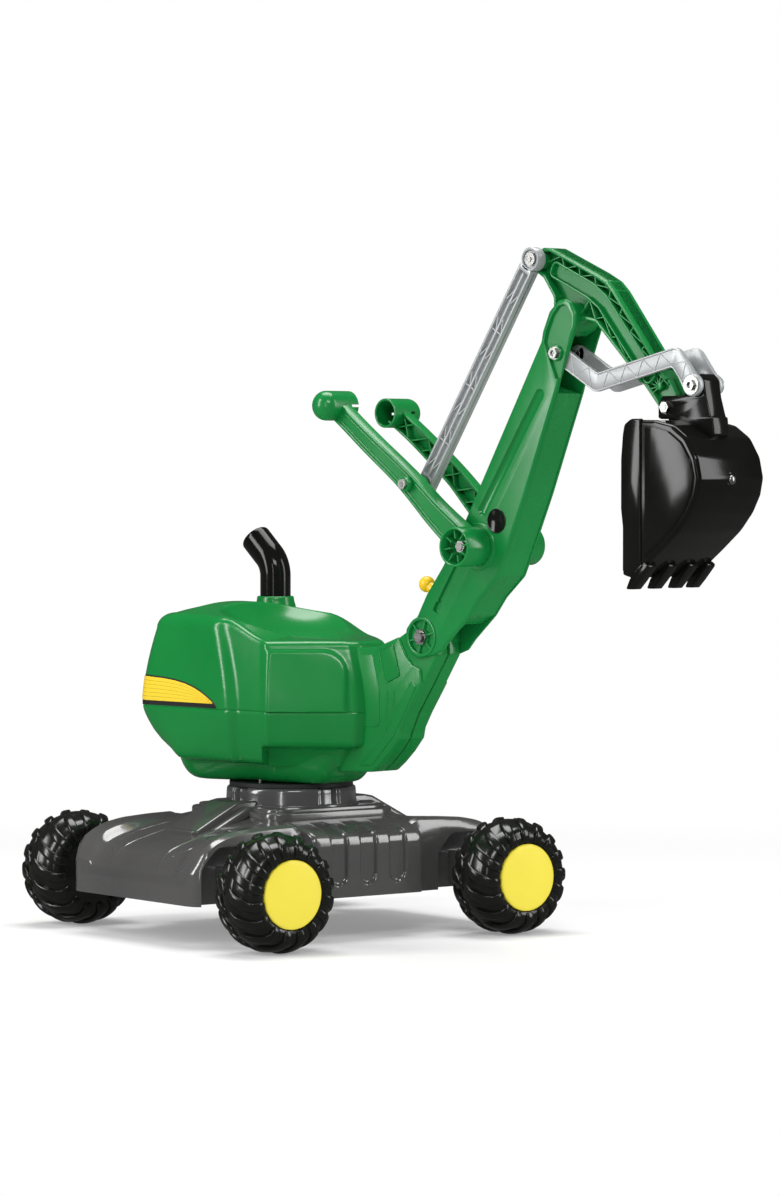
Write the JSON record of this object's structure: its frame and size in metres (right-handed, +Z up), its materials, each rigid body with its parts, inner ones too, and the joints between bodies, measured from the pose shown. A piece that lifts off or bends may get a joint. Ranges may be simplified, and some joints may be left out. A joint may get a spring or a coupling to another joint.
{
  "type": "ride-on toy digger",
  "caption": "Child's ride-on toy excavator: four-wheeled chassis, slewing seat, boom with two hand levers, push rod, dipper, links and toothed bucket.",
  "frame": {"origin": "on the slew axis, at the ground the wheels stand on", "axes": "+Z up, +X forwards along the boom, +Y to the rider's left; the chassis stands turned 81.4 degrees under the seat"},
  "size_m": [0.8448, 0.4826, 0.7125],
  "materials": {
    "green_plastic": "smooth gloss moulded plastic, bottle green",
    "grey_plastic": "dark metallic-grey gloss moulded plastic",
    "silver_plastic": "silver-grey moulded plastic",
    "black_plastic": "gloss black moulded plastic",
    "tyre_plastic": "gloss black blow-moulded tyre plastic",
    "yellow_plastic": "semi-gloss yellow plastic",
    "knob_plastic": "orange-yellow plastic",
    "zinc_steel": "bright zinc-plated steel"
  },
  "bodies": {
    "chassis": {"chassis_shell": "grey_plastic", "turret_drum": "grey_plastic", "drum_screws": "zinc_steel", "front_axle": "zinc_steel", "rear_axle": "zinc_steel", "axle_spacers": "black_plastic", "axle_push_nuts": "zinc_steel"},
    "wheel_front_right": {"tyre_front_right": "tyre_plastic", "wheel_cap_front_right": "yellow_plastic"},
    "wheel_front_left": {"tyre_front_left": "tyre_plastic", "wheel_cap_front_left": "yellow_plastic"},
    "wheel_rear_right": {"tyre_rear_right": "tyre_plastic", "wheel_cap_rear_right": "yellow_plastic"},
    "wheel_rear_left": {"tyre_rear_left": "tyre_plastic", "wheel_cap_rear_left": "yellow_plastic"},
    "upper": {"turntable_plate": "black_plastic", "slew_journal": "black_plastic", "slew_retainer": "zinc_steel", "slew_bolt": "zinc_steel", "slew_nut": "zinc_steel", "seat_lower_shell": "green_plastic", "seat_upper_shell": "green_plastic", "seat_screws": "zinc_steel", "exhaust_pipe": "black_plastic", "side_trims": "yellow_plastic", "side_trim_backings": "black_plastic", "column_right_half": "green_plastic", "column_left_half": "green_plastic", "column_screws": "zinc_steel"},
    "boom": {"boom": "green_plastic", "boom_pivot_bolt": "zinc_steel", "boom_pivot_nut": "zinc_steel", "lever_bolt": "zinc_steel", "lever_nut": "zinc_steel", "dipper_pin": "zinc_steel", "link_bolt": "zinc_steel", "link_bolt_nut": "zinc_steel", "boom_plug": "black_plastic", "left_lever": "green_plastic"},
    "lock": {"lock_knob": "knob_plastic", "lock_pin": "zinc_steel"},
    "lever": {"right_lever": "green_plastic", "rod_bolt": "zinc_steel", "rod_nut": "zinc_steel"},
    "rod": {"push_rod": "silver_plastic"},
    "dipper": {"dipper": "green_plastic", "rod_top_screw": "zinc_steel"},
    "links": {"z_link_right": "silver_plastic", "z_link_left": "silver_plastic"},
    "bucket": {"bucket_shell": "black_plastic", "bucket_bracket": "black_plastic", "bucket_bolt": "zinc_steel", "bucket_bolt_nut": "zinc_steel", "link_end_bolt": "zinc_steel", "link_end_nut": "zinc_steel", "bucket_screws": "zinc_steel"}
  },
  "joints": [
    {"name": "slew", "type": "hinge", "parent": "chassis", "child": "upper", "pos_m": [0, 0, 0.145], "axis": [0, 0, 1], "continuous": true},
    {"name": "boom_lift", "type": "hinge", "parent": "upper", "child": "boom", "pos_m": [0.213, 0, 0.318], "axis": [0, -1, 0], "range_deg": [-58, 0]},
    {"name": "lock_pull", "type": "slide", "parent": "boom", "child": "lock", "axis": [-0.8634, 0, 0.5045], "range_m": [0, 0.008], "stiffness_N_per_m": 300, "springref_m": -0.002},
    {"name": "bucket_lever", "type": "hinge", "parent": "boom", "child": "lever", "pos_m": [0.292, 0, 0.412], "axis": [0, -1, 0], "range_deg": [-8, 24]},
    {"name": "rod_pivot", "type": "hinge", "parent": "lever", "child": "rod", "pos_m": [0.218, 0, 0.475], "axis": [0, -1, 0], "range_deg": [-24, 9]},
    {"name": "dipper_swing", "type": "hinge", "parent": "boom", "child": "dipper", "pos_m": [0.405, 0, 0.641], "axis": [0, -1, 0], "range_deg": [-12, 34]},
    {"name": "link_swing", "type": "hinge", "parent": "boom", "child": "links", "pos_m": [0.396, 0, 0.606], "axis": [0, -1, 0], "range_deg": [-13, 37]},
    {"name": "bucket_curl", "type": "hinge", "parent": "dipper", "child": "bucket", "pos_m": [0.533, 0, 0.551], "axis": [0, -1, 0], "range_deg": [-12, 32]},
    {"name": "roll_front_right", "type": "hinge", "parent": "chassis", "child": "wheel_front_right", "pos_m": [0.20172, 0.12342, 0.0615], "axis": [-0.9888, 0.1495, 0], "continuous": true},
    {"name": "roll_front_left", "type": "hinge", "parent": "chassis", "child": "wheel_front_left", "pos_m": [-0.15621, 0.17755, 0.0615], "axis": [-0.9888, 0.1495, 0], "continuous": true},
    {"name": "roll_rear_right", "type": "hinge", "parent": "chassis", "child": "wheel_rear_right", "pos_m": [0.15621, -0.17755, 0.0615], "axis": [-0.9888, 0.1495, 0], "continuous": true},
    {"name": "roll_rear_left", "type": "hinge", "parent": "chassis", "child": "wheel_rear_left", "pos_m": [-0.20172, -0.12342, 0.0615], "axis": [-0.9888, 0.1495, 0], "continuous": true}
  ],
  "couplings": [
    {"joint": "rod_pivot", "follows": "bucket_lever", "ratio": -0.92},
    {"joint": "dipper_swing", "follows": "bucket_lever", "ratio": 1.344},
    {"joint": "link_swing", "follows": "bucket_lever", "ratio": 1.478},
    {"joint": "bucket_curl", "follows": "bucket_lever", "ratio": 1.269}
  ]
}
